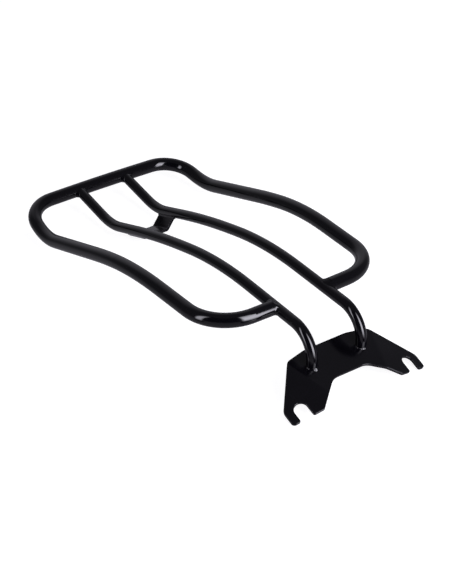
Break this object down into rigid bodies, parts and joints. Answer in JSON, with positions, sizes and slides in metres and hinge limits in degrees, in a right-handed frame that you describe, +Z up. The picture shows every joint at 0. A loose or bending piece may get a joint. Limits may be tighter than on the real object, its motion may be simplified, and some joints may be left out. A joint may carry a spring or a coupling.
{
  "type": "motorcycle solo seat luggage rack",
  "caption": "Welded steel tube luggage rack for a motorcycle's rear fender: bent outer hoop, curved rails, a folded mounting plate with open bolt slots, and a rear strap; gloss black.",
  "frame": {"origin": "bottom centre of the rack's bounding box, as it stands on a flat surface on the tips of its plate and on its rear strap", "axes": "+Y to the rear end of the rack, +Z up, +X to the right when looking along +Y"},
  "size_m": [0.2396, 0.5143, 0.0785],
  "materials": {
    "tube_paint": "gloss black paint with a faint orange-peel texture",
    "plate_paint": "gloss black paint on laser-cut plate, slightly duller on the flats",
    "weld_paint": "gloss black paint over rippled weld beads"
  },
  "bodies": {
    "root": {"outer_hoop": "tube_paint", "left_rail": "tube_paint", "right_rail": "tube_paint", "mounting_plate": "plate_paint", "rear_strap": "plate_paint", "left_foot_weld": "weld_paint", "left_front_weld": "weld_paint", "left_rear_weld": "weld_paint", "left_strap_weld": "weld_paint", "right_foot_weld": "weld_paint", "right_front_weld": "weld_paint", "right_rear_weld": "weld_paint", "right_strap_weld": "weld_paint"}
  },
  "joints": []
}
